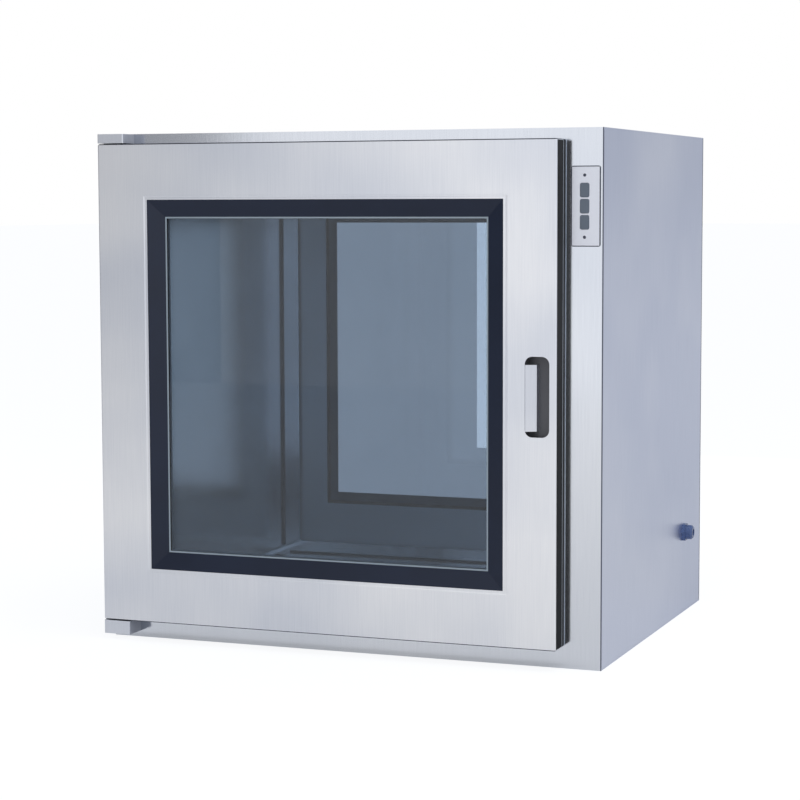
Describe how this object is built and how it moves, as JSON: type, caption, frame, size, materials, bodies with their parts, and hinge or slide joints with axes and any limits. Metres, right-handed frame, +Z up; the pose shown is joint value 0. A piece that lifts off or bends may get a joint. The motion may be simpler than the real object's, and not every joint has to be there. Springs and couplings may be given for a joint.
{
  "type": "cleanroom pass box",
  "caption": "Stainless pass-through chamber with a glazed, pivot-hung door at front and rear, recessed pulls, gaskets, lock magnets, ceiling lamps and push-key panels.",
  "frame": {"origin": "middle of the cabinet's footprint, on the surface that the box stands on", "axes": "+Z up, -Y out of the front face, +X to the right seen from the front, across the box's width"},
  "size_m": [0.723, 0.6118, 0.7],
  "materials": {
    "stainless": "brushed satin stainless sheet",
    "bright_steel": "turned bright steel",
    "black_border": "satin black moulded border",
    "cup_plastic": "dark grey moulded nylon",
    "glass": "clear toughened glass with a cool tint",
    "spacer": "black anodised aluminium",
    "black_rubber": "matt black rubber",
    "core_board": "rigid foam board",
    "bush_nylon": "natural nylon",
    "keypad_face": "satin polyester film with a dark edge line",
    "key_grey": "grey key with a soft sheen",
    "indicator": "small diffused indicator lamp",
    "circuit_board": "green circuit board",
    "gland_plastic": "dark moulded nylon",
    "lamp_metal": "white coated sheet",
    "lamp_plastic": "white moulded lamp holder",
    "lamp_glass": "clear lamp tube"
  },
  "bodies": {
    "cabinet": {"base_pan": "stainless", "cable_gland": "gland_plastic", "chamber_liner": "stainless", "front_frame": "stainless", "front_hinge_blocks": "stainless", "front_keypad_board": "circuit_board", "front_keypad_plate": "keypad_face", "front_lock_magnet": "bright_steel", "gland_locknut": "gland_plastic", "hinge_block_screws": "bright_steel", "hinge_pins": "bright_steel", "indicator_lamps": "indicator", "interlock_board": "circuit_board", "lamp_ballast": "lamp_metal", "lamp_sockets": "lamp_plastic", "lamp_trough": "lamp_metal", "lamp_tubes": "lamp_glass", "left_side_panel": "stainless", "power_supply": "lamp_metal", "rear_frame": "stainless", "rear_hinge_blocks": "stainless", "rear_keypad_board": "circuit_board", "rear_keypad_plate": "keypad_face", "rear_lock_magnet": "bright_steel", "right_side_panel": "stainless", "top_cover": "stainless", "top_cover_screws": "bright_steel"},
    "front_door": {"front_door_skin": "stainless", "front_door_pan": "stainless", "front_door_core": "core_board", "front_glazing_frame": "black_border", "front_outer_glass": "glass", "front_inner_glass": "glass", "front_glass_spacer": "spacer", "front_glass_seal": "black_rubber", "front_door_gasket": "black_rubber", "front_handle_cup": "cup_plastic", "front_handle_ramp": "stainless", "front_pivot_blocks": "bright_steel", "front_hinge_bushes": "bush_nylon", "front_lock_armature": "bright_steel"},
    "rear_door": {"rear_door_skin": "stainless", "rear_door_pan": "stainless", "rear_door_core": "core_board", "rear_glazing_frame": "black_border", "rear_outer_glass": "glass", "rear_inner_glass": "glass", "rear_glass_spacer": "spacer", "rear_glass_seal": "black_rubber", "rear_door_gasket": "black_rubber", "rear_handle_cup": "cup_plastic", "rear_handle_ramp": "stainless", "rear_pivot_blocks": "bright_steel", "rear_hinge_bushes": "bush_nylon", "rear_lock_armature": "bright_steel"},
    "front_key_1": {"front_key_1": "key_grey"},
    "front_key_2": {"front_key_2": "key_grey"},
    "front_key_3": {"front_key_3": "key_grey"},
    "rear_key_1": {"rear_key_1": "key_grey"},
    "rear_key_2": {"rear_key_2": "key_grey"},
    "rear_key_3": {"rear_key_3": "key_grey"}
  },
  "joints": [
    {"name": "front_door_hinge", "type": "hinge", "parent": "cabinet", "child": "front_door", "pos_m": [-0.342, -0.2916, 0.35], "axis": [0, 0, -1], "range_deg": [0, 120]},
    {"name": "rear_door_hinge", "type": "hinge", "parent": "cabinet", "child": "rear_door", "pos_m": [-0.342, 0.2916, 0.35], "axis": [0, 0, 1], "range_deg": [0, 120]},
    {"name": "front_key_1_press", "type": "slide", "parent": "cabinet", "child": "front_key_1", "axis": [0, 1, 0], "range_m": [0, 0.0008], "stiffness_N_per_m": 1200},
    {"name": "front_key_2_press", "type": "slide", "parent": "cabinet", "child": "front_key_2", "axis": [0, 1, 0], "range_m": [0, 0.0008], "stiffness_N_per_m": 1200},
    {"name": "front_key_3_press", "type": "slide", "parent": "cabinet", "child": "front_key_3", "axis": [0, 1, 0], "range_m": [0, 0.0008], "stiffness_N_per_m": 1200},
    {"name": "rear_key_1_press", "type": "slide", "parent": "cabinet", "child": "rear_key_1", "axis": [0, -1, 0], "range_m": [0, 0.0008], "stiffness_N_per_m": 1200},
    {"name": "rear_key_2_press", "type": "slide", "parent": "cabinet", "child": "rear_key_2", "axis": [0, -1, 0], "range_m": [0, 0.0008], "stiffness_N_per_m": 1200},
    {"name": "rear_key_3_press", "type": "slide", "parent": "cabinet", "child": "rear_key_3", "axis": [0, -1, 0], "range_m": [0, 0.0008], "stiffness_N_per_m": 1200}
  ]
}
